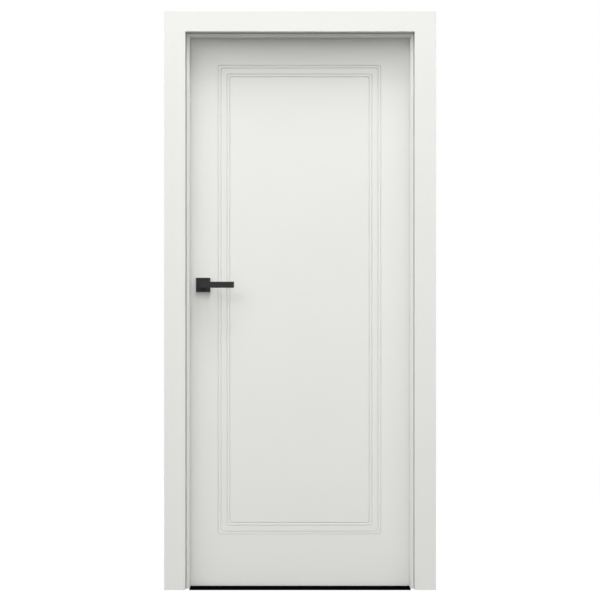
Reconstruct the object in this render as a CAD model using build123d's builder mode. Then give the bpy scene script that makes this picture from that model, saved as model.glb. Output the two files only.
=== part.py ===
# Interior door: adjustable rebated frame, flush leaf with routed moulding frames,
# three pin hinges, mortise latch and a pair of square levers.
# Seen from the front (looking along +Y) the hinges are on the right and the leaf opens away.
# Origin: outer face of the hinge side jamb, at floor level, in the middle of the wall.
import os

from build123d import *

# Doorway
clear_width = 800.0
clear_height = 2000.0
wall_thickness = 80.0

# Lining
lining_thickness = 37.0
lining_lip = 13.5
lining_setback = 30.0
stop_width = 17.0
lining_edge = 1.0

# Casings
casing_width = 76.5
casing_thickness = 16.0
casing_outer_radius = 1.5
casing_inner_radius = 1.5
front_tongue_thickness = 8.0
front_tongue_length = 34.0
front_groove_spare = 6.0
front_groove_slack = 1.0
rear_tongue_thickness = 6.0
rear_tongue_length = 9.0
rear_groove_spare = 1.0
tongue_clearance = 0.3

# Leaf
leaf_thickness = 40.0
leaf_gap = 5.0
latch_gap = 6.5
skin_thickness = 6.0
skin_edge = 1.0
stile_width = 100.0
rail_width = 100.0

# Routed moulding frames: each is two fine V lines with a narrow land between
moulding_side_margin = 108.2
moulding_top_margin = 102.2
moulding_foot_margin = 195.6
moulding_step = 32.2
moulding_shift = -1.8
line_spacing = 10.0
line_width = 3.8
line_depth = 3.3
line_corner_radius = 6.0
line_overcut = 0.5

# Threshold
threshold_thickness = 1.5
threshold_clearance = 0.3
threshold_bevel = 0.7

# Seal in the stop
seal_kerf_width = 3.0
seal_kerf_depth = 7.0
seal_kerf_offset = 6.0
seal_bulb_width = 8.0
seal_clearance = 0.3

# Hinges
hinge_top_margin = 212.0
hinge_foot_margin = 233.5
hinge_length = 100.0
hinge_plate_width = 30.0
hinge_plate_thickness = 2.0
hinge_barrel_radius = 6.5
hinge_axis_standoff = 8.5
hinge_pin_radius = 3.5
hinge_pin_clearance = 0.05
hinge_pin_head_radius = 5.0
hinge_pin_head_height = 3.0
hinge_pin_head_bevel = 1.0
knuckle_gap = 0.3
mortise_clearance = 0.2

# Mortise latch and strike
backset = 57.0
forend_length = 196.0
forend_width = 20.0
forend_thickness = 3.0
case_depth = 80.0
case_length = 150.0
case_thickness = 14.0
bolt_length = 24.0
bolt_width = 12.0
bolt_reach = 22.0
bolt_rise = 30.0
bolt_nose_edge = 1.0
bolt_clearance = 0.3
strike_length = 120.0
strike_width = 20.0
strike_thickness = 2.0
strike_slot_margin = 1.5
strike_pocket_depth = 12.0

# Handle
handle_height = 1101.0
rosette_side = 52.0
rosette_thickness = 8.0
rosette_corner_radius = 1.5
rosette_edge = 0.5
lever_length = 122.5
lever_height = 22.0
lever_thickness = 11.0
lever_heel = 8.0
lever_reach = 60.0
lever_outer_radius = 3.0
lever_inner_radius = 6.0
lever_edge = 0.5
journal_radius = 8.0
journal_length = 6.5
journal_clearance = 0.1
neck_clearance = 0.5
spindle_side = 8.0
spindle_socket_depth = 36.0
spindle_clearance = 0.1
spindle_bore_radius = 10.0
hub_radius = 9.0
hub_clearance = 0.1

# Places worked out from the sizes above
centre_x = -(clear_width / 2 + lining_thickness)
left_x = centre_x - clear_width / 2
right_x = centre_x + clear_width / 2
front_y = -(wall_thickness / 2 + casing_thickness)
rear_y = wall_thickness / 2 + casing_thickness
wall_front_y = -wall_thickness / 2
wall_rear_y = wall_thickness / 2
lining_front_y = front_y + lining_setback
leaf_rear_y = rear_y
leaf_front_y = leaf_rear_y - leaf_thickness
leaf_mid_y = (leaf_front_y + leaf_rear_y) / 2
stop_y = leaf_front_y - leaf_gap
core_front_y = leaf_front_y + skin_thickness
core_rear_y = leaf_rear_y - skin_thickness
latch_edge_x = left_x - stop_width + latch_gap
hinge_edge_x = right_x + stop_width - leaf_gap
leaf_width = hinge_edge_x - latch_edge_x
leaf_low = threshold_thickness + leaf_gap
leaf_high = clear_height + stop_width - leaf_gap
leaf_height = leaf_high - leaf_low
casing_outer = lining_lip + casing_width
hinge_axis_x = hinge_edge_x + leaf_gap / 2
hinge_axis_y = leaf_rear_y + hinge_axis_standoff
frame_rebate_x = right_x + stop_width
strike_face_x = left_x - stop_width
spindle_x = latch_edge_x + backset
bolt_height = handle_height + bolt_rise
plate_mid_y = leaf_rear_y - hinge_plate_width / 2
top_hinge_z = leaf_high - hinge_top_margin
foot_hinge_z = leaf_low + hinge_foot_margin
hinge_heights = {
    "top": top_hinge_z,
    "middle": (top_hinge_z + foot_hinge_z) / 2,
    "bottom": foot_hinge_z,
}

os.makedirs("parts", exist_ok=True)


def save(piece, name):
    piece.part.label = name
    export_step(piece.part, f"parts/{name}.step")


# Profiles of the frame members: first coordinate outward from the doorway, second along Y
with BuildSketch() as lining_profile:
    with BuildLine():
        Polyline(
            (0, lining_front_y),
            (0, stop_y),
            (stop_width, stop_y),
            (stop_width, wall_rear_y),
            (lining_thickness, wall_rear_y),
            (lining_thickness, lining_front_y),
            close=True,
        )
    make_face()
    reveal_corners = lining_profile.vertices().group_by(Axis.X)[0]
    chamfer(reveal_corners, length=lining_edge)
    with Locations((lining_lip - front_groove_slack, lining_front_y)):
        Rectangle(
            front_groove_slack + front_tongue_thickness + tongue_clearance,
            front_tongue_length + front_groove_spare - (lining_front_y - wall_front_y),
            align=(Align.MIN, Align.MIN),
            mode=Mode.SUBTRACT,
        )
    with Locations((lining_thickness, wall_rear_y)):
        Rectangle(
            rear_tongue_thickness + tongue_clearance,
            rear_tongue_length + rear_groove_spare,
            align=(Align.MAX, Align.MAX),
            mode=Mode.SUBTRACT,
        )
    with Locations((seal_kerf_offset, stop_y)):
        Rectangle(
            seal_kerf_width, seal_kerf_depth, align=(Align.MIN, Align.MAX), mode=Mode.SUBTRACT
        )

with BuildSketch() as front_casing_profile:
    with Locations((lining_lip, front_y)):
        Rectangle(casing_width, casing_thickness, align=(Align.MIN, Align.MIN))
        Rectangle(
            front_tongue_thickness,
            casing_thickness + front_tongue_length,
            align=(Align.MIN, Align.MIN),
        )
    face_corners = front_casing_profile.vertices().group_by(Axis.Y)[0].sort_by(Axis.X)
    fillet(face_corners[0], radius=casing_inner_radius)
    face_corners = front_casing_profile.vertices().group_by(Axis.Y)[0].sort_by(Axis.X)
    fillet(face_corners[-1], radius=casing_outer_radius)

with BuildSketch() as rear_casing_profile:
    with Locations((stop_width, wall_rear_y)):
        Rectangle(
            casing_outer - stop_width, casing_thickness, align=(Align.MIN, Align.MIN)
        )
    with Locations((lining_thickness, wall_rear_y)):
        Rectangle(rear_tongue_thickness, rear_tongue_length, align=(Align.MAX, Align.MAX))
    face_corners = rear_casing_profile.vertices().group_by(Axis.Y)[-1].sort_by(Axis.X)
    fillet(face_corners[0], radius=casing_inner_radius)
    face_corners = rear_casing_profile.vertices().group_by(Axis.Y)[-1].sort_by(Axis.X)
    fillet(face_corners[-1], radius=casing_outer_radius)

seal_mid = seal_kerf_offset + seal_kerf_width / 2
seal_bulb_height = leaf_gap - seal_clearance
with BuildSketch() as seal_profile:
    with Locations((seal_mid, stop_y)):
        Rectangle(
            seal_kerf_width - 2 * seal_clearance,
            seal_kerf_depth - seal_clearance,
            align=(Align.CENTER, Align.MAX),
        )
        Rectangle(
            seal_bulb_width, seal_bulb_height, align=(Align.CENTER, Align.MIN)
        )
    fillet(
        seal_profile.vertices().group_by(Axis.Y)[-1], radius=seal_bulb_height / 2
    )

# Where the profiles stand, and the mitres that part the uprights from the head
upright_planes = {
    "latch": Plane(origin=(left_x, 0, 0), x_dir=(-1, 0, 0), z_dir=(0, 0, -1)),
    "hinge": Plane(origin=(right_x, 0, 0), x_dir=(1, 0, 0), z_dir=(0, 0, 1)),
}
head_plane = Plane(origin=(centre_x, 0, clear_height), x_dir=(0, 0, 1), z_dir=(-1, 0, 0))
mitres = {
    "latch": Plane(origin=(left_x, 0, clear_height), x_dir=(0, 1, 0), z_dir=(1, 0, 1)),
    "hinge": Plane(origin=(right_x, 0, clear_height), x_dir=(0, 1, 0), z_dir=(-1, 0, 1)),
}
frame_reach = casing_outer + casing_width


def upright(profile, side):
    with BuildPart() as member:
        with BuildSketch(upright_planes[side]):
            add(profile.sketch)
        extrude(amount=clear_height + frame_reach, dir=(0, 0, 1))
        split(bisect_by=mitres[side], keep=Keep.BOTTOM)
    return member


def head(profile):
    with BuildPart() as member:
        with BuildSketch(head_plane):
            add(profile.sketch)
        extrude(amount=clear_width / 2 + frame_reach, both=True)
        split(bisect_by=mitres["latch"], keep=Keep.TOP)
        split(bisect_by=mitres["hinge"], keep=Keep.TOP)
    return member


def cut_hinge_mortises(face_x):
    for height in hinge_heights.values():
        with Locations((face_x, plate_mid_y, height)):
            Box(
                2 * hinge_plate_thickness,
                hinge_plate_width + 2 * mortise_clearance,
                hinge_length + 2 * mortise_clearance,
                mode=Mode.SUBTRACT,
            )


def round_ended_plate(length, width):
    SlotOverall(length, width, rotation=90)


def cut_strike_mortise():
    with BuildSketch(Plane.YZ.offset(strike_face_x)) as seat:
        with Locations((leaf_mid_y, bolt_height)):
            round_ended_plate(
                strike_length + 2 * mortise_clearance, strike_width + 2 * mortise_clearance
            )
    extrude(seat.sketch, amount=strike_thickness, both=True, mode=Mode.SUBTRACT)
    with Locations((strike_face_x, leaf_mid_y, bolt_height)):
        Box(
            2 * (strike_thickness + strike_pocket_depth),
            bolt_width + 2 * strike_slot_margin,
            bolt_length + 2 * strike_slot_margin,
            mode=Mode.SUBTRACT,
        )


# Lining
with BuildPart() as latch_jamb:
    add(upright(lining_profile, "latch").part)
    cut_strike_mortise()
save(latch_jamb, "latch_jamb")

with BuildPart() as hinge_jamb:
    add(upright(lining_profile, "hinge").part)
    cut_hinge_mortises(frame_rebate_x)
save(hinge_jamb, "hinge_jamb")

save(head(lining_profile), "head_jamb")

# Casings
save(upright(front_casing_profile, "latch"), "front_casing_latch_side")
save(upright(front_casing_profile, "hinge"), "front_casing_hinge_side")
save(head(front_casing_profile), "front_casing_head")

with BuildPart() as rear_casing_latch_side:
    add(upright(rear_casing_profile, "latch").part)
    cut_strike_mortise()
save(rear_casing_latch_side, "rear_casing_latch_side")

with BuildPart() as rear_casing_hinge_side:
    add(upright(rear_casing_profile, "hinge").part)
    cut_hinge_mortises(frame_rebate_x)
save(rear_casing_hinge_side, "rear_casing_hinge_side")

save(head(rear_casing_profile), "rear_casing_head")

# Seals
save(upright(seal_profile, "latch"), "seal_latch_side")
save(upright(seal_profile, "hinge"), "seal_hinge_side")
save(head(seal_profile), "seal_head")

# Strike plate, let into the latch side rebate
with BuildPart() as strike_plate:
    with BuildSketch(Plane.YZ.offset(strike_face_x - strike_thickness)):
        with Locations((leaf_mid_y, bolt_height)):
            round_ended_plate(strike_length, strike_width)
            Rectangle(
                bolt_width + 2 * strike_slot_margin,
                bolt_length + 2 * strike_slot_margin,
                mode=Mode.SUBTRACT,
            )
    extrude(amount=strike_thickness)
save(strike_plate, "strike_plate")

# Threshold strip between the jambs
with BuildPart() as threshold_strip:
    with Locations((centre_x, 0, 0)):
        Box(
            clear_width - 2 * threshold_clearance,
            rear_y - front_y,
            threshold_thickness,
            align=(Align.CENTER, Align.CENTER, Align.MIN),
        )
    long_edges = threshold_strip.edges().group_by(Axis.Z)[-1].filter_by(Axis.X)
    chamfer(long_edges, length=threshold_bevel)
save(threshold_strip, "threshold_strip")


# Leaf: two routed skins on a frame of stiles and rails
leaf_mid_plane = Plane.XZ.offset(-leaf_mid_y)


def rout_line(inset):
    half_width = clear_width / 2 - moulding_side_margin - inset
    mid_x = centre_x + moulding_shift
    low = moulding_foot_margin + inset
    high = clear_height - moulding_top_margin - inset
    with BuildLine() as route:
        FilletPolyline(
            (mid_x - half_width, leaf_front_y, low),
            (mid_x + half_width, leaf_front_y, low),
            (mid_x + half_width, leaf_front_y, high),
            (mid_x - half_width, leaf_front_y, high),
            radius=line_corner_radius,
            close=True,
        )
    travel = route.line % 0
    into_skin = Vector(0, 1, 0)
    cutter = Plane(origin=route.line @ 0, x_dir=into_skin.cross(travel), z_dir=travel)
    overcut_half = line_width / 2 * (1 + line_overcut / line_depth)
    with BuildSketch(cutter) as vee:
        with BuildLine():
            Polyline(
                (-overcut_half, -line_overcut),
                (overcut_half, -line_overcut),
                (0, line_depth),
                close=True,
            )
        make_face()
    sweep(vee.sketch, path=route.line, mode=Mode.SUBTRACT)


def bore_for_spindle(radius):
    with BuildSketch(leaf_mid_plane) as bore:
        with Locations((spindle_x, handle_height)):
            Circle(radius)
    extrude(bore.sketch, amount=leaf_thickness, both=True, mode=Mode.SUBTRACT)


with BuildPart() as leaf_front_skin:
    with Locations((latch_edge_x, leaf_front_y, leaf_low)):
        Box(leaf_width, skin_thickness, leaf_height, align=(Align.MIN, Align.MIN, Align.MIN))
    chamfer(leaf_front_skin.faces().sort_by(Axis.Y)[0].edges(), length=skin_edge)
    for moulding in range(2):
        for side in (-1, 1):
            rout_line(moulding * moulding_step + side * line_spacing / 2)
    bore_for_spindle(spindle_bore_radius)
save(leaf_front_skin, "leaf_front_skin")

with BuildPart() as leaf_rear_skin:
    mirror(leaf_front_skin.part, about=leaf_mid_plane)
    cut_hinge_mortises(hinge_edge_x)
save(leaf_rear_skin, "leaf_rear_skin")

core_thickness = core_rear_y - core_front_y

with BuildPart() as latch_stile:
    with Locations((latch_edge_x, leaf_mid_y, leaf_low)):
        Box(stile_width, core_thickness, leaf_height, align=(Align.MIN, Align.CENTER, Align.MIN))
    with BuildSketch(Plane.YZ.offset(latch_edge_x)):
        with Locations((leaf_mid_y, handle_height)):
            round_ended_plate(
                forend_length + 2 * mortise_clearance, forend_width + 2 * mortise_clearance
            )
    extrude(amount=forend_thickness, both=True, mode=Mode.SUBTRACT)
    with Locations((latch_edge_x, leaf_mid_y, handle_height)):
        Box(
            2 * (case_depth + mortise_clearance),
            case_thickness + 2 * mortise_clearance,
            case_length + 2 * mortise_clearance,
            mode=Mode.SUBTRACT,
        )
    bore_for_spindle(spindle_bore_radius)
save(latch_stile, "latch_stile")

with BuildPart() as hinge_stile:
    with Locations((hinge_edge_x, leaf_mid_y, leaf_low)):
        Box(stile_width, core_thickness, leaf_height, align=(Align.MAX, Align.CENTER, Align.MIN))
    cut_hinge_mortises(hinge_edge_x)
save(hinge_stile, "hinge_stile")

rail_length = leaf_width - 2 * stile_width

with BuildPart() as top_rail:
    with Locations((latch_edge_x + stile_width, leaf_mid_y, leaf_high)):
        Box(rail_length, core_thickness, rail_width, align=(Align.MIN, Align.CENTER, Align.MAX))
save(top_rail, "top_rail")

with BuildPart() as bottom_rail:
    with Locations((latch_edge_x + stile_width, leaf_mid_y, leaf_low)):
        Box(rail_length, core_thickness, rail_width, align=(Align.MIN, Align.CENTER, Align.MIN))
save(bottom_rail, "bottom_rail")

# Mortise latch: case with its face plate, and the flush bolt in it
with BuildPart() as latch_case:
    with BuildSketch(Plane.YZ.offset(latch_edge_x)):
        with Locations((leaf_mid_y, handle_height)):
            round_ended_plate(forend_length, forend_width)
    extrude(amount=forend_thickness)
    with Locations((latch_edge_x, leaf_mid_y, handle_height)):
        Box(
            case_depth, case_thickness, case_length, align=(Align.MIN, Align.CENTER, Align.CENTER)
        )
    with Locations((latch_edge_x, leaf_mid_y, bolt_height)):
        Box(
            2 * bolt_reach,
            bolt_width + 2 * bolt_clearance,
            bolt_length + 2 * bolt_clearance,
            mode=Mode.SUBTRACT,
        )
    bore_for_spindle(hub_radius + hub_clearance)
save(latch_case, "latch_case")

with BuildPart() as latch_bolt:
    with Locations((latch_edge_x, leaf_mid_y, bolt_height)):
        Box(bolt_reach, bolt_width, bolt_length, align=(Align.MIN, Align.CENTER, Align.CENTER))
    chamfer(latch_bolt.faces().sort_by(Axis.X)[0].edges(), length=bolt_nose_edge)
save(latch_bolt, "latch_bolt")

# Hinges: three knuckles each, the middle one on the leaf, turning on a loose pin
knuckle_length = (hinge_length - 2 * knuckle_gap) / 3
knuckle_pitch = knuckle_length + knuckle_gap


def hinge_half(plate_x, height, knuckle_steps):
    with BuildPart() as half:
        with BuildSketch(Plane.XY.offset(height - hinge_length / 2)):
            with Locations((plate_x, leaf_rear_y)):
                Rectangle(
                    hinge_plate_thickness, hinge_plate_width, align=(Align.CENTER, Align.MAX)
                )
        extrude(amount=hinge_length)
        for step in knuckle_steps:
            with BuildSketch(Plane.XY.offset(height - knuckle_length / 2 + step * knuckle_pitch)):
                with Locations((hinge_axis_x, hinge_axis_y)):
                    Circle(hinge_barrel_radius)
                with Locations((plate_x, leaf_rear_y)):
                    Rectangle(
                        hinge_plate_thickness,
                        hinge_axis_standoff,
                        align=(Align.CENTER, Align.MIN),
                    )
                with Locations((hinge_axis_x, hinge_axis_y)):
                    Circle(hinge_pin_radius + hinge_pin_clearance, mode=Mode.SUBTRACT)
            extrude(amount=knuckle_length)
    return half


def hinge_pin(height):
    with BuildPart() as pin:
        with BuildSketch(Plane.XY.offset(height - hinge_length / 2)):
            with Locations((hinge_axis_x, hinge_axis_y)):
                Circle(hinge_pin_radius)
        extrude(amount=hinge_length)
        with BuildSketch(Plane.XY.offset(height + hinge_length / 2)):
            with Locations((hinge_axis_x, hinge_axis_y)):
                Circle(hinge_pin_head_radius)
        extrude(amount=hinge_pin_head_height)
        chamfer(pin.edges().sort_by(Axis.Z)[-1], length=hinge_pin_head_bevel)
    return pin


leaf_plate_x = hinge_edge_x - hinge_plate_thickness / 2
frame_plate_x = frame_rebate_x + hinge_plate_thickness / 2
for name, height in hinge_heights.items():
    save(hinge_half(frame_plate_x, height, (-1, 1)), f"frame_hinge_{name}")
    save(hinge_half(leaf_plate_x, height, (0,)), f"leaf_hinge_{name}")
    save(hinge_pin(height), f"hinge_pin_{name}")

# Handle: rosette and lever on each face, on one square spindle
rosette_face_y = leaf_front_y - rosette_thickness
lever_face_y = leaf_front_y - lever_reach
lever_back_y = lever_face_y + lever_thickness
neck_end_y = rosette_face_y - neck_clearance

with BuildPart() as front_rosette:
    with Locations((spindle_x, rosette_face_y, handle_height)):
        Box(
            rosette_side,
            rosette_thickness,
            rosette_side,
            align=(Align.CENTER, Align.MIN, Align.CENTER),
        )
    fillet(front_rosette.edges().filter_by(Axis.Y), radius=rosette_corner_radius)
    chamfer(front_rosette.faces().sort_by(Axis.Y)[0].edges(), length=rosette_edge)
    bore_for_spindle(journal_radius + journal_clearance)
save(front_rosette, "front_rosette")

with BuildPart() as front_lever:
    with BuildSketch(Plane.XY.offset(handle_height - lever_height / 2)) as lever_outline:
        with BuildLine():
            Polyline(
                (spindle_x - lever_heel, neck_end_y),
                (spindle_x + lever_heel, neck_end_y),
                (spindle_x + lever_heel, lever_back_y),
                (spindle_x - lever_heel + lever_length, lever_back_y),
                (spindle_x - lever_heel + lever_length, lever_face_y),
                (spindle_x - lever_heel, lever_face_y),
                close=True,
            )
        make_face()
        outer_corner = lever_outline.vertices().group_by(Axis.Y)[0].sort_by(Axis.X)[0]
        fillet(outer_corner, radius=lever_outer_radius)
        inner_corner = lever_outline.vertices().group_by(Axis.Y)[-2].sort_by(Axis.X)[0]
        fillet(inner_corner, radius=lever_inner_radius)
    extrude(amount=lever_height)
    neck_end_edges = front_lever.faces().sort_by(Axis.Y)[-1].edges()
    chamfer(front_lever.edges() - neck_end_edges, length=lever_edge)
    with BuildSketch(Plane.XZ.offset(-neck_end_y)):
        with Locations((spindle_x, handle_height)):
            Circle(journal_radius)
    extrude(amount=-journal_length)
    socket_side = spindle_side + 2 * spindle_clearance
    with Locations((spindle_x, neck_end_y + journal_length, handle_height)):
        Box(socket_side, 2 * spindle_socket_depth, socket_side, mode=Mode.SUBTRACT)
save(front_lever, "front_lever")

for front, name in ((front_rosette, "rear_rosette"), (front_lever, "rear_lever")):
    with BuildPart() as rear:
        mirror(front.part, about=leaf_mid_plane)
    save(rear, name)

spindle_half = leaf_mid_y - (neck_end_y + journal_length - spindle_socket_depth) - spindle_clearance
with BuildPart() as spindle:
    with Locations((spindle_x, leaf_mid_y, handle_height)):
        Box(spindle_side, 2 * spindle_half, spindle_side)
    with BuildSketch(leaf_mid_plane):
        with Locations((spindle_x, handle_height)):
            Circle(hub_radius)
    extrude(amount=case_thickness / 2, both=True)
save(spindle, "spindle")
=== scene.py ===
import math

import bmesh
import bpy
from mathutils import Matrix, Vector


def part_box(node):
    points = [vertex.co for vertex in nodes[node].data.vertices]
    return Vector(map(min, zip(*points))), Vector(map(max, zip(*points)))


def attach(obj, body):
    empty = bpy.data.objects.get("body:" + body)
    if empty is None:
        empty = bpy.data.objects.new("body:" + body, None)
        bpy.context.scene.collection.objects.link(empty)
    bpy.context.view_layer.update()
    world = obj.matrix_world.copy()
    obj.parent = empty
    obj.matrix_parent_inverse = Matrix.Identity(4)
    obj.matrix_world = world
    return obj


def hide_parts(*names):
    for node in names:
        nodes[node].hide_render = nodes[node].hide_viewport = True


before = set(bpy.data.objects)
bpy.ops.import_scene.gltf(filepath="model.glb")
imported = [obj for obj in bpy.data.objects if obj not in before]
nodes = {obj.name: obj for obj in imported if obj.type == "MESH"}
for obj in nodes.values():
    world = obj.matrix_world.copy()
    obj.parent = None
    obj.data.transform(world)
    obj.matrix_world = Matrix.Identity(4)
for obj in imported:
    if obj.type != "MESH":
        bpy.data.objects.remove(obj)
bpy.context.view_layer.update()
scene = bpy.context.scene
scene.view_settings.view_transform = "Standard"
print("frame loaded,", len(nodes), "parts")


# camera: square on to the doorway, level with the middle of the frame
cameraView = {
    "place": (-0.437, -5.556, 1.046),
    "turn": (90, 0, 0),
    "lens": 91.54,
    "sensor": 36,
}


def placeCamera(view):
    data = bpy.data.cameras.new("doorCamera")
    data.lens = view["lens"]
    data.sensor_width = view["sensor"]
    camera = bpy.data.objects.new("doorCamera", data)
    camera.location = view["place"]
    camera.rotation_euler = [math.radians(angle) for angle in view["turn"]]
    scene.collection.objects.link(camera)
    scene.camera = camera


placeCamera(cameraView)
print("camera placed")


# light: an even room, with soft lamps over the front and two plain ones behind
studioLight = {
    "roomLevel": 0.60,
    "roomTint": (1.0, 1.0, 0.985, 1),
    "aim": (-0.437, 0.0, 1.0),
    "lamps": {
        "topLamp": {"place": (-0.30, -2.45, 9.56), "size": (5.0, 2.2), "power": 515},
        "topFrontLamp": {"place": (-0.44, -4.90, 8.55), "size": (2.4, 2.2), "power": 51},
        "topRightLamp": {"place": (2.71, -3.75, 8.55), "size": (2.4, 2.2), "power": 123},
        "topLeftLamp": {"place": (-3.59, -3.75, 8.55), "size": (2.4, 2.2), "power": 48},
        "upperLeftLamp": {"place": (-3.22, -6.25, 6.82), "size": (4.0, 3.6), "power": 83},
        "leftLamp": {"place": (-6.35, -4.62, 5.85), "size": (5.0, 5.0), "power": 166},
        "rightLamp": {"place": (5.88, -4.94, 5.09), "size": (2.4, 2.2), "power": 38},
        "frontLamp": {"place": (-0.44, -8.99, 0.53), "size": (2.4, 0.9), "power": 71},
        "rearLeftLamp": {"place": (-6.40, 7.00, 3.00), "size": (3.0, 3.0), "power": 260},
        "rearRightLamp": {"place": (5.60, 7.00, 3.00), "size": (3.0, 3.0), "power": 260},
    },
}


def seenDirectly(tree):
    # 1 for camera, glossy and transmission rays, 0 for rays that carry light
    path = tree.nodes.new("ShaderNodeLightPath")
    shine = tree.nodes.new("ShaderNodeMath")
    shine.operation = "MAXIMUM"
    tree.links.new(path.outputs["Is Glossy Ray"], shine.inputs[0])
    tree.links.new(path.outputs["Is Transmission Ray"], shine.inputs[1])
    seen = tree.nodes.new("ShaderNodeMath")
    seen.operation = "MAXIMUM"
    tree.links.new(path.outputs["Is Camera Ray"], seen.inputs[0])
    tree.links.new(shine.outputs[0], seen.inputs[1])
    return seen.outputs[0]


def lightRoom(light):
    world = bpy.data.worlds.new("paleStudio")
    world.use_nodes = True
    scene.world = world
    tree = world.node_tree
    room = tree.nodes["Background"]
    room.inputs["Color"].default_value = light["roomTint"]
    room.inputs["Strength"].default_value = light["roomLevel"]
    backdrop = tree.nodes.new("ShaderNodeBackground")
    backdrop.inputs["Color"].default_value = (1, 1, 1, 1)
    backdrop.inputs["Strength"].default_value = 1
    choice = tree.nodes.new("ShaderNodeMixShader")
    tree.links.new(seenDirectly(tree), choice.inputs["Fac"])
    tree.links.new(room.outputs[0], choice.inputs[1])
    tree.links.new(backdrop.outputs[0], choice.inputs[2])
    tree.links.new(choice.outputs[0], tree.nodes["World Output"].inputs["Surface"])


def hangLamp(name, lamp, aim):
    data = bpy.data.lights.new(name, "AREA")
    data.shape = "RECTANGLE"
    data.size, data.size_y = lamp["size"]
    data.energy = lamp["power"]
    light = bpy.data.objects.new(name, data)
    light.location = lamp["place"]
    towards = Vector(aim) - Vector(lamp["place"])
    light.rotation_euler = towards.to_track_quat("-Z", "Y").to_euler()
    scene.collection.objects.link(light)


lightRoom(studioLight)
for name, lamp in studioLight["lamps"].items():
    hangLamp(name, lamp, studioLight["aim"])
print("light set,", len(studioLight["lamps"]), "lamps")


# materials, all worked out on Object coordinates; noise is spread between these two levels
noiseSpread = (0.3, 0.7)


def startMaterial(name):
    material = bpy.data.materials.new(name)
    material.use_nodes = True
    tree = material.node_tree
    shader = tree.nodes["Principled BSDF"]
    place = tree.nodes.new("ShaderNodeTexCoord").outputs["Object"]
    return material, tree, shader, place


def addNoise(tree, place, scale, detail=2.0, stretch=(1, 1, 1)):
    mapping = tree.nodes.new("ShaderNodeMapping")
    mapping.inputs["Scale"].default_value = stretch
    tree.links.new(place, mapping.inputs["Vector"])
    noise = tree.nodes.new("ShaderNodeTexNoise")
    noise.inputs["Scale"].default_value = scale
    noise.inputs["Detail"].default_value = detail
    tree.links.new(mapping.outputs["Vector"], noise.inputs["Vector"])
    return noise.outputs["Fac"]


def addRamp(tree, value, low, high):
    ramp = tree.nodes.new("ShaderNodeValToRGB")
    for stop, level, colour in zip(ramp.color_ramp.elements, noiseSpread, (low, high)):
        stop.position = level
        stop.color = (*colour, 1)
    tree.links.new(value, ramp.inputs["Fac"])
    return ramp.outputs["Color"]


def addRange(tree, value, low, high):
    span = tree.nodes.new("ShaderNodeMapRange")
    span.inputs["From Min"].default_value, span.inputs["From Max"].default_value = noiseSpread
    span.inputs["To Min"].default_value = low
    span.inputs["To Max"].default_value = high
    tree.links.new(value, span.inputs["Value"])
    return span.outputs["Result"]


def addBump(tree, shader, height, strength, distance):
    bump = tree.nodes.new("ShaderNodeBump")
    bump.inputs["Strength"].default_value = strength
    bump.inputs["Distance"].default_value = distance
    tree.links.new(height, bump.inputs["Height"])
    tree.links.new(bump.outputs["Normal"], shader.inputs["Normal"])


def dressShader(tree, shader, value, finish):
    # colour and gloss follow one noise
    colour = addRamp(tree, value, finish["dull"], finish["pale"])
    tree.links.new(colour, shader.inputs["Base Color"])
    tree.links.new(addRange(tree, value, *finish["gloss"]), shader.inputs["Roughness"])


# sprayed white lacquer: a faint orange peel and a barely uneven gloss
whiteLacquer = {
    "pale": (0.815, 0.815, 0.797),
    "dull": (0.800, 0.800, 0.781),
    "cloudScale": 3.0,
    "peelScale": 420.0,
    "peelDetail": 1.0,
    "peelStrength": 0.5,
    "peelHeight": 0.00004,
    "gloss": (0.34, 0.42),
    "specular": 0.2,
}


def makeLacquer(finish):
    material, tree, shader, place = startMaterial("whiteLacquer")
    dressShader(tree, shader, addNoise(tree, place, finish["cloudScale"]), finish)
    shader.inputs["Specular IOR Level"].default_value = finish["specular"]
    peel = addNoise(tree, place, finish["peelScale"], finish["peelDetail"])
    addBump(tree, shader, peel, finish["peelStrength"], finish["peelHeight"])
    return material


# matt black powder coat on the levers and rosettes
blackCoat = {
    "pale": (0.034, 0.034, 0.0345),
    "dull": (0.025, 0.025, 0.0255),
    "grainScale": 1600.0,
    "grainDetail": 3.0,
    "grainStrength": 0.4,
    "grainHeight": 0.00003,
    "gloss": (0.46, 0.58),
    "specular": 0.12,
}


def makeBlackCoat(finish):
    material, tree, shader, place = startMaterial("blackCoat")
    grain = addNoise(tree, place, finish["grainScale"], finish["grainDetail"])
    dressShader(tree, shader, grain, finish)
    shader.inputs["Specular IOR Level"].default_value = finish["specular"]
    addBump(tree, shader, grain, finish["grainStrength"], finish["grainHeight"])
    return material


# threshold strip, ribbed along its length by the die; its dead black, reflection-free finish is
# blacker than a real black strip and paints the shade at the foot of the doorway: partly the
# strip's own black, partly painted shade
thresholdShadeBlack = {
    "pale": (0.0018, 0.0018, 0.0018),
    "dull": (0.0007, 0.0007, 0.0007),
    "ribScale": 900.0,
    "ribDetail": 1.0,
    "ribStretch": (0.02, 1, 1),
    "ribStrength": 0.3,
    "ribHeight": 0.00005,
    "gloss": (0.85, 0.95),
    "specular": 0.0,
}


def makeThresholdShadeBlack(finish):
    material, tree, shader, place = startMaterial("thresholdShadeBlack")
    rib = addNoise(tree, place, finish["ribScale"], finish["ribDetail"], finish["ribStretch"])
    dressShader(tree, shader, rib, finish)
    shader.inputs["Specular IOR Level"].default_value = finish["specular"]
    addBump(tree, shader, rib, finish["ribStrength"], finish["ribHeight"])
    return material


# satin nickel on hinges, latch and strike, brushed upright
satinNickel = {
    "pale": (0.62, 0.60, 0.57),
    "dull": (0.52, 0.505, 0.48),
    "brushScale": 2400.0,
    "brushDetail": 2.0,
    "brushStretch": (1, 1, 0.03),
    "brushStrength": 0.3,
    "brushHeight": 0.00002,
    "gloss": (0.26, 0.38),
}


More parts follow.
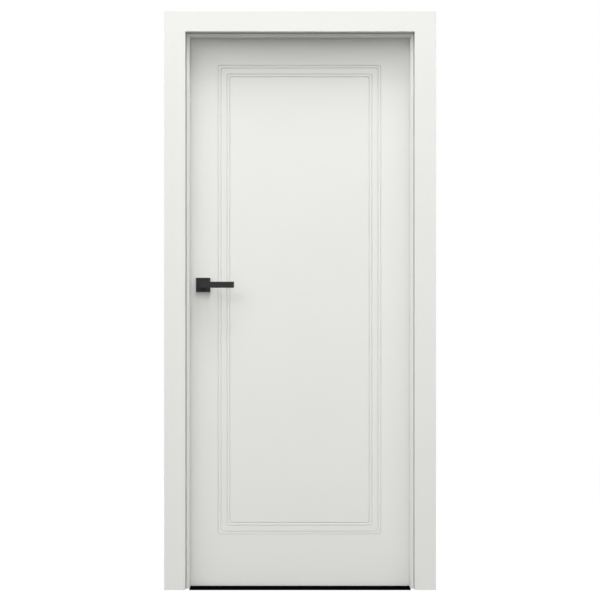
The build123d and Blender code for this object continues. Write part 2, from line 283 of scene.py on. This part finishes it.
def makeNickel(finish):
    material, tree, shader, place = startMaterial("satinNickel")
    stretch = finish["brushStretch"]
    brush = addNoise(tree, place, finish["brushScale"], finish["brushDetail"], stretch)
    dressShader(tree, shader, brush, finish)
    shader.inputs["Metallic"].default_value = 1
    addBump(tree, shader, brush, finish["brushStrength"], finish["brushHeight"])
    return material


# pale grey rubber of the seals, dusted with talc
paleRubber = {
    "pale": (0.60, 0.60, 0.585),
    "dull": (0.56, 0.56, 0.545),
    "dustScale": 900.0,
    "dustDetail": 3.0,
    "dustStrength": 0.3,
    "dustHeight": 0.00005,
    "gloss": (0.55, 0.7),
}


def makeRubber(name, finish):
    material, tree, shader, place = startMaterial(name)
    dust = addNoise(tree, place, finish["dustScale"], finish["dustDetail"])
    dressShader(tree, shader, dust, finish)
    addBump(tree, shader, dust, finish["dustStrength"], finish["dustHeight"])
    return material


# near-black rubber of the thin gasket in the casing's joint; its darkness stands in for the
# shadow line of the joint: painted shade
jointShadeRubber = {
    "pale": (0.024, 0.024, 0.024),
    "dull": (0.017, 0.017, 0.017),
    "dustScale": 900.0,
    "dustDetail": 3.0,
    "dustStrength": 0.3,
    "dustHeight": 0.00003,
    "gloss": (0.6, 0.75),
}


lacquer = makeLacquer(whiteLacquer)
coat = makeBlackCoat(blackCoat)
strip = makeThresholdShadeBlack(thresholdShadeBlack)
nickel = makeNickel(satinNickel)
rubber = makeRubber("paleRubber", paleRubber)
jointShadeMaterial = makeRubber("jointShadeRubber", jointShadeRubber)

finishOf = {
    "jamb": lacquer,
    "casing": lacquer,
    "skin": lacquer,
    "stile": lacquer,
    "rail": lacquer,
    "seal": rubber,
    "hinge_pin": nickel,
    "frame_hinge": nickel,
    "leaf_hinge": nickel,
    "strike": nickel,
    "latch_case": nickel,
    "latch_bolt": nickel,
    "rosette": coat,
    "lever": coat,
    "spindle": nickel,
    # the threshold's dead black partly paints shade at the foot of the doorway
    "threshold": strip,
}


def finishFor(name):
    # the first word of the list that the part's name holds
    return next(material for word, material in finishOf.items() if word in name)


for name, part in nodes.items():
    part.data.materials.clear()
    part.data.materials.append(finishFor(name))
print("finishes given")


# floor: pale, melts into the white backdrop away from the door, keeps the shadow near it
paleFloor = {
    "reach": 14.0,
    "centre": (-0.437, 0.0, 0.0),
    "pale": (0.90, 0.90, 0.89),
    "dullShare": 0.985,
    "mottleScale": 2.0,
    "roughness": 0.9,
    "specular": 0.05,
    "bounceColour": (0.06, 0.06, 0.059, 1),
    "backdropShare": (0.88, 1.0),
    "fade": (1.2, 4.5),
}


def layFloor(floor):
    bm = bmesh.new()
    bmesh.ops.create_grid(bm, x_segments=1, y_segments=1, size=floor["reach"])
    bmesh.ops.translate(bm, vec=floor["centre"], verts=bm.verts)
    mesh = bpy.data.meshes.new("paleFloor")
    bm.to_mesh(mesh)
    bm.free()
    material, tree, shader, place = startMaterial("paleFloor")
    seen = seenDirectly(tree)
    colour = tree.nodes.new("ShaderNodeMix")
    colour.data_type = "RGBA"
    colour.inputs["A"].default_value = floor["bounceColour"]
    tree.links.new(seen, colour.inputs["Factor"])
    mottle = addNoise(tree, place, floor["mottleScale"])
    dull = [floor["dullShare"] * channel for channel in floor["pale"]]
    tree.links.new(addRamp(tree, mottle, dull, floor["pale"]), colour.inputs["B"])
    tree.links.new(colour.outputs["Result"], shader.inputs["Base Color"])
    shader.inputs["Roughness"].default_value = floor["roughness"]
    shader.inputs["Specular IOR Level"].default_value = floor["specular"]
    glow = tree.nodes.new("ShaderNodeEmission")
    glow.inputs["Color"].default_value = (1, 1, 1, 1)
    glow.inputs["Strength"].default_value = 1
    away = tree.nodes.new("ShaderNodeVectorMath")
    away.operation = "DISTANCE"
    away.inputs[1].default_value = floor["centre"]
    tree.links.new(place, away.inputs[0])
    fade = tree.nodes.new("ShaderNodeMapRange")
    fade.interpolation_type = "SMOOTHSTEP"
    near, far = floor["fade"]
    fade.inputs["From Min"].default_value, fade.inputs["From Max"].default_value = near, far
    least, most = floor["backdropShare"]
    fade.inputs["To Min"].default_value, fade.inputs["To Max"].default_value = least, most
    tree.links.new(away.outputs["Value"], fade.inputs["Value"])
    share = tree.nodes.new("ShaderNodeMath")
    share.operation = "MULTIPLY"
    tree.links.new(seen, share.inputs[0])
    tree.links.new(fade.outputs["Result"], share.inputs[1])
    blend = tree.nodes.new("ShaderNodeMixShader")
    tree.links.new(share.outputs[0], blend.inputs["Fac"])
    tree.links.new(shader.outputs[0], blend.inputs[1])
    tree.links.new(glow.outputs[0], blend.inputs[2])
    tree.links.new(blend.outputs[0], tree.nodes["Material Output"].inputs["Surface"])
    mesh.materials.append(material)
    ground = bpy.data.objects.new("paleFloor", mesh)
    scene.collection.objects.link(ground)


layFloor(paleFloor)
print("floor laid")


sharpAngle = math.radians(40)  # edges sharper than this stay sharp on a smooth piece


def keepPiece(bm, name, body, material, smooth=True):
    bmesh.ops.recalc_face_normals(bm, faces=bm.faces)
    mesh = bpy.data.meshes.new(name)
    bm.to_mesh(mesh)
    bm.free()
    mesh.materials.append(material)
    if smooth:
        mesh.shade_smooth()
        mesh.set_sharp_from_angle(angle=sharpAngle)
    piece = bpy.data.objects.new(name, mesh)
    scene.collection.objects.link(piece)
    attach(piece, body)
    return piece


def movedPoints(made):
    return [item for item in made["geom"] if isinstance(item, bmesh.types.BMVert)]


def movedEdges(made):
    return [item for item in made["geom"] if isinstance(item, bmesh.types.BMEdge)]


# seals: a soft bulb on a thin flange, with a stem in the kerf of the stop
sealStrip = {
    "bulbSegments": 24,
    "bulbSquash": 0.86,
    "proud": 0.5875,
    "flange": 0.0011,
    "stem": 0.0016,
    "spare": 0.01,
}


def growEdge(bm, edge, reach):
    # pulls one edge of the flat section out into a new strip, gives its far edge and its points
    grown = bmesh.ops.extrude_edge_only(bm, edges=[edge])
    points = movedPoints(grown)
    bmesh.ops.translate(bm, vec=reach, verts=points)
    far = next(edge for edge in movedEdges(grown) if all(vert in points for vert in edge.verts))
    return far, points


def sealSection(bm, low, high, seal):
    # drawn in the plane of the strip's end: x across the strip, y towards the leaf
    width = high.x - low.x
    middle = (low.x + high.x) / 2
    face = high.y - width * seal["proud"]
    neck = face + seal["flange"]
    segments = seal["bulbSegments"]
    bulb = bmesh.ops.create_circle(bm, cap_ends=True, segments=segments, radius=1)["verts"]
    halfStep = math.pi / segments
    bmesh.ops.rotate(bm, cent=(0, 0, 0), matrix=Matrix.Rotation(halfStep, 3, "Z"), verts=bulb)
    bulbSize = (width / 2 * seal["bulbSquash"], (high.y - neck) / 2 / math.cos(halfStep), 1)
    bmesh.ops.scale(bm, vec=bulbSize, verts=bulb)
    bmesh.ops.translate(bm, vec=(middle, (neck + high.y) / 2, low.z), verts=bulb)
    lowest = min(bm.edges, key=lambda edge: sum(vert.co.y for vert in edge.verts))
    root, rootPoints = growEdge(bm, lowest, (0, face - neck, 0))
    for vert in rootPoints:
        vert.co.x = middle + math.copysign(seal["stem"] / 2, vert.co.x - middle)
    for vert in rootPoints:
        rim = high.x if vert.co.x > middle else low.x
        side = next(edge for edge in vert.link_edges if edge is not root)
        wing = growEdge(bm, side, (rim - vert.co.x, 0, 0))[1]
        for tip in wing:
            tip.co.x = rim
    growEdge(bm, root, (0, low.y - face, 0))


def trimMitre(bm, corner, outward):
    cut = bmesh.ops.bisect_plane(
        bm,
        geom=bm.verts[:] + bm.edges[:] + bm.faces[:],
        plane_co=corner,
        plane_no=outward,
        clear_outer=True,
    )
    edges = [item for item in cut["geom_cut"] if isinstance(item, bmesh.types.BMEdge)]
    bmesh.ops.edgeloop_fill(bm, edges=edges)


def pullSection(bm, along):
    ends = bm.faces[:]
    pulled = bmesh.ops.extrude_face_region(bm, geom=ends, use_keep_orig=True)
    bmesh.ops.translate(bm, vec=along, verts=movedPoints(pulled))


def makeUprightSeal(node, inward):
    low, high = [Vector(corner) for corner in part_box(node)]
    bm = bmesh.new()
    sealSection(bm, low, high, sealStrip)
    pullSection(bm, (0, 0, high.z - low.z + sealStrip["spare"]))
    inner = Vector((high.x if inward > 0 else low.x, 0, high.z - (high.x - low.x)))
    trimMitre(bm, inner, Vector((inward, 0, 1)))
    piece = keepPiece(bm, node + "_bulb", "frame", rubber)
    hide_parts(node)


def makeHeadSeal(node):
    low, high = [Vector(corner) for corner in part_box(node)]
    bm = bmesh.new()
    # drawn lying down, then stood up so that its x runs upwards
    flatLow = Vector((low.z, low.y, 0))
    flatHigh = Vector((high.z, high.y, 0))
    sealSection(bm, flatLow, flatHigh, sealStrip)
    spare = sealStrip["spare"]
    pullSection(bm, (0, 0, high.x - low.x + 2 * spare))
    stand = Matrix(((0, 0, 1, low.x - spare), (0, 1, 0, 0), (1, 0, 0, 0), (0, 0, 0, 1)))
    bmesh.ops.transform(bm, matrix=stand, verts=bm.verts)
    tall = high.z - low.z
    trimMitre(bm, Vector((low.x + tall, 0, low.z)), Vector((-1, 0, -1)))
    trimMitre(bm, Vector((high.x - tall, 0, low.z)), Vector((1, 0, -1)))
    piece = keepPiece(bm, node + "_bulb", "frame", rubber)
    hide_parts(node)


makeUprightSeal("seal_latch_side", 1)
makeUprightSeal("seal_hinge_side", -1)
makeHeadSeal("seal_head")
print("seals drawn")


# dark gasket in the joint of casing and lining: lies on the lip's face, over the slot by the
# casing; a dark strip put where the joint only has shade, painting its shadow line: painted
# shade
jointShadeGasket = {
    "wide": 0.00145,
    "proud": 0.0005,
    "clear": 0.00005,
    "round": 0.0002,
    "roundSegments": 3,
}


def roundEdges(bm, edges, piece):
    bmesh.ops.bevel(
        bm,
        geom=edges,
        offset=piece["round"],
        affect="EDGES",
        segments=piece["roundSegments"],
        profile=0.5,
        material=-1,
    )


def makeJointShadeGasket(shadeGasket):
    doorLeft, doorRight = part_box("latch_jamb")[1][0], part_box("hinge_jamb")[0][0]
    doorTop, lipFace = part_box("head_jamb")[0][2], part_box("head_jamb")[0][1]
    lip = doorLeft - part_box("front_casing_latch_side")[1][0]
    outer = lip - shadeGasket["clear"]
    inner = outer - shadeGasket["wide"]
    outline = [
        (doorLeft - outer, 0),
        (doorLeft - outer, doorTop + outer),
        (doorRight + outer, doorTop + outer),
        (doorRight + outer, 0),
        (doorRight + inner, 0),
        (doorRight + inner, doorTop + inner),
        (doorLeft - inner, doorTop + inner),
        (doorLeft - inner, 0),
    ]
    bm = bmesh.new()
    bm.faces.new([bm.verts.new((x, lipFace, z)) for x, z in outline])
    pullSection(bm, (0, -shadeGasket["proud"], 0))
    crest = [
        edge
        for edge in bm.edges
        if all(vert.co.y < lipFace - shadeGasket["proud"] / 2 for vert in edge.verts)
        and edge.calc_length() > lip
    ]
    roundEdges(bm, crest, shadeGasket)
    # the near-black gasket paints the joint's shadow line: painted shade
    keepPiece(bm, "casing_joint_shade_gasket", "frame", jointShadeMaterial, smooth=False)


makeJointShadeGasket(jointShadeGasket)
print("gasket laid")


# sweep under the leaf: a flange on its underside and a lip that closes the running gap
footSweep = {
    "endMargin": 0.004,
    "lipFront": 0.0002,
    "lipThick": 0.0026,
    "flangeLong": 0.014,
    "flangeThick": 0.0014,
    "overStrip": 0.0006,
    "round": 0.0009,
    "roundSegments": 4,
}


def makeSweep(sweep):
    low, high = [Vector(corner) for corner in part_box("leaf_front_skin")]
    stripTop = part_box("threshold_strip")[1][2]
    front = low.y + sweep["lipFront"]
    foot = stripTop + sweep["overStrip"]
    left, right = low.x + sweep["endMargin"], high.x - sweep["endMargin"]
    outline = [
        (front, foot),
        (front + sweep["lipThick"], foot),
        (front + sweep["lipThick"], low.z - sweep["flangeThick"]),
        (front + sweep["flangeLong"], low.z - sweep["flangeThick"]),
        (front + sweep["flangeLong"], low.z),
        (front, low.z),
    ]
    bm = bmesh.new()
    bm.faces.new([bm.verts.new((left, y, z)) for y, z in outline])
    pullSection(bm, (right - left, 0, 0))
    # the two long edges at the foot of the lip
    toe = [
        edge
        for edge in bm.edges
        if all(vert.co.z < foot + sweep["overStrip"] for vert in edge.verts)
        and edge.calc_length() > sweep["flangeLong"]
    ]
    roundEdges(bm, toe, sweep)
    keepPiece(bm, "leaf_foot_sweep", "leaf", lacquer, smooth=False)


makeSweep(footSweep)
print("foot sweep fitted")


# countersunk screws with a cross recess, in the hinges, strike and latch face plate
plateScrew = {
    "radius": 0.0038,
    "sides": 20,
    "rim": 0.00035,
    "crown": 0.0005,
    "sunk": 0.0012,
    "crossArm": 0.0021,
    "crossWidth": 0.00048,
    "crossDepth": 0.0004,
}


def drawScrew(bm, screw):
    # head looks along +Z, its flat underside below the plate's face
    outer = bmesh.ops.create_circle(bm, segments=screw["sides"], radius=screw["radius"])["verts"]
    rimEdges = list(dict.fromkeys(edge for vert in outer for edge in vert.link_edges))
    inner = bmesh.ops.extrude_edge_only(bm, edges=rimEdges)
    crownVerts, crownEdges = movedPoints(inner), movedEdges(inner)
    shrink = 1 - screw["rim"] / screw["radius"]
    bmesh.ops.scale(bm, vec=(shrink, shrink, 1), verts=crownVerts)
    bmesh.ops.translate(bm, vec=(0, 0, screw["crown"]), verts=crownVerts)
    arm, half = screw["crossArm"], screw["crossWidth"]
    quarter = [(arm, -half), (arm, half), (half, half)]
    crossVerts = []
    for turn in range(4):
        spin = Matrix.Rotation(math.radians(90 * turn), 3, "Z")
        for x, y in quarter:
            crossVerts.append(bm.verts.new(spin @ Vector((x, y, screw["crown"]))))
    crossEdges = [
        bm.edges.new((crossVerts[step - 1], crossVerts[step])) for step in range(len(crossVerts))
    ]
    bmesh.ops.bridge_loops(bm, edges=crownEdges + crossEdges)
    for edges, depth in ((crossEdges, screw["crossDepth"]), (rimEdges, screw["sunk"])):
        lowered = bmesh.ops.extrude_edge_only(bm, edges=edges)
        bmesh.ops.translate(bm, vec=(0, 0, -depth), verts=movedPoints(lowered))
        bmesh.ops.edgeloop_fill(bm, edges=movedEdges(lowered))


def makeScrews(name, body, places, facing, turns):
    bm = bmesh.new()
    for place, turn in zip(places, turns):
        before = set(bm.verts)
        drawScrew(bm, plateScrew)
        fresh = [vert for vert in bm.verts if vert not in before]
        stand = Vector((0, 0, 1)).rotation_difference(Vector(facing)).to_matrix().to_4x4()
        spin = Matrix.Rotation(math.radians(turn), 4, "Z")
        bmesh.ops.transform(bm, matrix=Matrix.Translation(place) @ stand @ spin, verts=fresh)
    keepPiece(bm, name, body, nickel, smooth=False)


hingeScrews = {
    "heights": (-0.038, -0.014, 0.014, 0.038),
    "depths": (0.0095, 0.0205, 0.0095, 0.0205),
    "turns": (12, 57, 33, 80),
}


def hingePlaces(node, faceX, hinge):
    low, high = [Vector(corner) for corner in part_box(node)]
    middle = (low.z + high.z) / 2
    return [
        Vector((faceX, low.y + depth, middle + height))
        for height, depth in zip(hinge["heights"], hinge["depths"])
    ]


hingeGap = {
    "frameFace": -0.020,
    "leafFace": -0.025,
}
for level in ("top", "middle", "bottom"):
    turns = hingeScrews["turns"]
    framePlaces = hingePlaces("frame_hinge_" + level, hingeGap["frameFace"], hingeScrews)
    makeScrews("frame_hinge_screws_" + level, "frame", framePlaces, (-1, 0, 0), turns)
    leafPlaces = hingePlaces("leaf_hinge_" + level, hingeGap["leafFace"], hingeScrews)
    makeScrews("leaf_hinge_screws_" + level, "leaf", leafPlaces, (1, 0, 0), turns)

latchScrews = {
    "strikeEnd": 0.012,
    "forendEnd": 0.011,
    "turns": (25, 70),
}


def endPlaces(node, faceX, end):
    low, high = [Vector(corner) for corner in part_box(node)]
    middle = (low.y + high.y) / 2
    return [Vector((faceX, middle, low.z + end)), Vector((faceX, middle, high.z - end))]


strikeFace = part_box("strike_plate")[1][0]
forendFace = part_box("latch_case")[0][0]
strikePlaces = endPlaces("strike_plate", strikeFace, latchScrews["strikeEnd"])
makeScrews("strike_screws", "frame", strikePlaces, (1, 0, 0), latchScrews["turns"])
forendPlaces = endPlaces("latch_case", forendFace, latchScrews["forendEnd"])
makeScrews("forend_screws", "leaf", forendPlaces, (-1, 0, 0), latchScrews["turns"])
print("screws driven")
